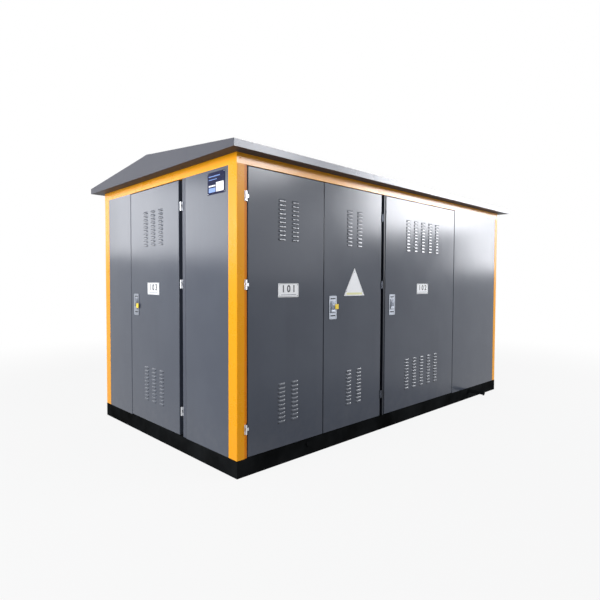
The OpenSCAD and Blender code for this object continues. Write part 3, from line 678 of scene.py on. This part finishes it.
def makeNotice():
    # dark notice plate with plain blocks of paler colour
    low, high = span("notice_plate", "left")
    bm = bmesh.new()
    corner = lambda e: abs(e.verts[0].co.y - e.verts[1].co.y) > 1e-4
    block(bm, low, high, notice["corner"], 3, corner)
    w, h, y = high.x - low.x, high.z - low.z, low.y
    for left, bottom, right, top, material in notice["blocks"]:
        block(bm, (low.x + w * left, y - notice["ink"], low.z + h * bottom),
              (low.x + w * right, y, low.z + h * top), material=material)
    for sx in (low.x + notice["rivetIn"], high.x - notice["rivetIn"]):
        for sz in (low.z + notice["rivetIn"], high.z - notice["rivetIn"]):
            rivet(bm, sx, y, sz, notice["rivet"], notice["rivetOut"], 3)
    made = piece("notice_plate_look", bm, "housing", [noticeNavy, plateWhite, noticeBlue, zinc],
                 "left")
    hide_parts("notice_plate")


makeTriangle()
makeNotice()
print("plates made")

fixing = {"rivet": 0.006, "rivetOut": 0.0025, "fromCorner": 0.030, "splice": 1.796, "aside": 0.022,
          "up": 0.02, "ridgeIn": 0.014, "ridgeCount": 15, "ridgeEnd": 0.12}


def makeHeaderRivets():
    for wall, length in (("front", housing["length"]), ("back", housing["length"]),
                         ("left", housing["width"]), ("right", housing["width"])):
        bm = bmesh.new()
        z = (housing["headerBottom"] + housing["wallTop"]) / 2
        spots = [(x, z) for x in (fixing["fromCorner"], length - fixing["fromCorner"])]
        if wall == "front":
            spots += [(fixing["splice"] + d, z + dz) for d in (-fixing["aside"], fixing["aside"])
                      for dz in (-fixing["up"], fixing["up"])]
        for x, at in spots:
            rivet(bm, x, 0, at, fixing["rivet"], fixing["rivetOut"])
        piece("header_rivets_" + wall, bm, "housing", [paints["amber"]], wall)


def makeRidgeRivets():
    # a row of domed rivets down each side of the ridge cap
    low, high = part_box("ridge_cap")
    reach, drop = high[1] - fixing["ridgeIn"], high[2] - low[2] - 0.002
    bm = bmesh.new()
    end, count = fixing["ridgeEnd"], fixing["ridgeCount"]
    for row in range(count):
        x = low[0] + end + (high[0] - low[0] - 2 * end) * row / (count - 1)
        for side in (-1, 1):
            y = side * reach
            z = high[2] - drop * reach / high[1] - 0.0004
            disc(bm, (x, y, z), fixing["rivet"] * 0.8, 0.002, 8, 0.0008,
                 point=(0, side * drop / high[1], 1))
    piece("ridge_rivets", bm, "housing", [paints["roofGrey"]])


makeHeaderRivets()
makeRidgeRivets()
print("fixings made")

camera = {"place": (-4.4412, -4.1614, 1.5193), "yaw": 45.93, "pitch": -2.12, "roll": 0.249, "lens": 28.54}


def addCamera():
    yaw, pitch, roll = (math.radians(camera[k]) for k in ("yaw", "pitch", "roll"))
    ahead = Vector((math.cos(pitch) * math.cos(yaw), math.cos(pitch) * math.sin(yaw), math.sin(pitch)))
    right = ahead.cross(Vector((0, 0, 1))).normalized()
    up = right.cross(ahead)
    turned = right * math.cos(roll) + up * math.sin(roll)
    raised = up * math.cos(roll) - right * math.sin(roll)
    data = bpy.data.cameras.new("camera")
    data.sensor_width, data.lens = 36, camera["lens"]
    data.clip_end = 200
    object_ = bpy.data.objects.new("camera", data)
    bpy.context.collection.objects.link(object_)
    object_.matrix_world = Matrix((
        (turned.x, raised.x, -ahead.x, camera["place"][0]),
        (turned.y, raised.y, -ahead.y, camera["place"][1]),
        (turned.z, raised.z, -ahead.z, camera["place"][2]), (0, 0, 0, 1)))
    bpy.context.scene.camera = object_


lamps = {
    "endLamp": dict(place=(-8.5, -1.0, 3.6), aim=(-2.2, 0.0, 1.2), size=(4.5, 4.5), power=605),
    "endGlow": dict(place=(-6.5, 6.0, 3.06), aim=(-2.3, 0.2, 1.8), size=(4.6, 1.84), power=110),
    "endHigh": dict(place=(-6.5, 6.0, 5.9), aim=(-2.3, 0.2, 1.8), size=(3.5, 1.8), power=30),
    "sideGlow": dict(place=(8.8, -6.8, 4.65), aim=(0.8, -1.2, 2.0), size=(3.3, 2.9), power=520),
    "frontGlow": dict(place=(3.6, -8.9, 5.35), aim=(-1.2, -1.2, 2.0), size=(3.0, 1.9), power=300),
    "frontFill": dict(place=(4.6, -8.4, 2.75), aim=(-1.7, -1.2, 1.8), size=(2.9, 2.3), power=32),
    "farGlow": dict(place=(10.1, -4.85, 3.0), aim=(1.6, -1.2, 1.8), size=(1.85, 2.2), power=100),
    "topLamp": dict(place=(0.5, -1.0, 8.5), aim=(0.0, 0.0, 1.0), size=(7.0, 7.0), power=110),
    "backLamp": dict(place=(6.5, 6.5, 4.5), aim=(0.0, 0.0, 1.3), size=(5.0, 5.0), power=300),
}


def addLamp(name, place, aim, size, power):
    data = bpy.data.lights.new(name, "AREA")
    data.shape, data.energy, data.color = "RECTANGLE", power, (0.95, 0.96, 1.0)
    data.size, data.size_y = size
    object_ = bpy.data.objects.new(name, data)
    bpy.context.collection.objects.link(object_)
    object_.location = place
    object_.rotation_euler = (Vector(aim) - Vector(place)).to_track_quat("-Z", "Y").to_euler()


room = {"tint": (0.93, 0.96, 1.0, 1), "ambient": 0.11, "floorHalf": 45, "floorTone": 0.36, "floorPale": 0.9,
        "shadowFades": (4.0, 9.0), "mirroredShadow": 0.7, "shadowAlong": (2.4, 1.1), "shadowAcross": (4.6, 1.0)}


def addWorld():
    world = bpy.data.worlds.new("studio")
    bpy.context.scene.world = world
    world.use_nodes = True
    tree = world.node_tree
    tree.nodes.clear()
    soft, white = tree.nodes.new("ShaderNodeBackground"), tree.nodes.new("ShaderNodeBackground")
    soft.inputs["Color"].default_value = room["tint"]
    soft.inputs["Strength"].default_value = room["ambient"]
    white.inputs["Color"].default_value, white.inputs["Strength"].default_value = (1, 1, 1, 1), 1.0
    mixer, out = tree.nodes.new("ShaderNodeMixShader"), tree.nodes.new("ShaderNodeOutputWorld")
    path = tree.nodes.new("ShaderNodeLightPath")
    seen = Value(tree, path.outputs["Is Camera Ray"]).most(Value(tree, path.outputs["Is Glossy Ray"]))
    seen = seen.most(Value(tree, path.outputs["Is Transmission Ray"]))
    tree.links.new(seen.socket, mixer.inputs[0])
    tree.links.new(soft.outputs[0], mixer.inputs[1])
    tree.links.new(white.outputs[0], mixer.inputs[2])
    tree.links.new(mixer.outputs[0], out.inputs["Surface"])


def addFloor():
    bm = bmesh.new()
    bmesh.ops.create_grid(bm, x_segments=1, y_segments=1, size=room["floorHalf"])
    mesh = bpy.data.meshes.new("floor")
    bm.to_mesh(mesh)
    bm.free()
    floor = bpy.data.objects.new("floor", mesh)
    bpy.context.collection.objects.link(floor)
    material = bpy.data.materials.new("floorPale")
    material.use_nodes = True
    tree = material.node_tree
    tree.nodes.clear()
    plain, glow = tree.nodes.new("ShaderNodeBsdfDiffuse"), tree.nodes.new("ShaderNodeEmission")
    plain.inputs["Color"].default_value = (*[room["floorTone"]] * 3, 1)
    glow.inputs["Color"].default_value, glow.inputs["Strength"].default_value = (1, 1, 1, 1), 1.0
    mixer, out = tree.nodes.new("ShaderNodeMixShader"), tree.nodes.new("ShaderNodeOutputMaterial")
    path = tree.nodes.new("ShaderNodeLightPath")
    spot = tree.nodes.new("ShaderNodeTexCoord")
    away = tree.nodes.new("ShaderNodeVectorMath")
    away.operation = "LENGTH"
    tree.links.new(spot.outputs["Object"], away.inputs[0])
    # only the floor near the housing shows its shadow
    clear = Value(tree, away.outputs["Value"]).ramp(*room["shadowFades"])
    apart = tree.nodes.new("ShaderNodeSeparateXYZ")
    tree.links.new(spot.outputs["Object"], apart.inputs[0])
    # painted shadow: the walls mirror a darker floor beside the middle of the long sides, standing in for the
    # housing's shadow there
    along, across = Value(tree, apart.outputs["X"]).size(), Value(tree, apart.outputs["Y"]).size()
    shade = along.ramp(*room["shadowAlong"]) * across.ramp(*room["shadowAcross"])
    pale = room["floorPale"] + clear * (1 - room["floorPale"])
    direct = Value(tree, path.outputs["Is Camera Ray"]).most(Value(tree, path.outputs["Is Transmission Ray"]))
    seen = (direct * pale).most(Value(tree, path.outputs["Is Glossy Ray"]) * (pale - shade * room["mirroredShadow"]))
    tree.links.new(seen.socket, mixer.inputs[0])
    tree.links.new(plain.outputs[0], mixer.inputs[1])
    tree.links.new(glow.outputs[0], mixer.inputs[2])
    tree.links.new(mixer.outputs[0], out.inputs["Surface"])
    mesh.materials.append(material)


addCamera()
for name, values in lamps.items():
    addLamp(name, **values)
addWorld()
addFloor()
bpy.context.scene.view_settings.view_transform = "Standard"
print("camera, lamps and floor set")
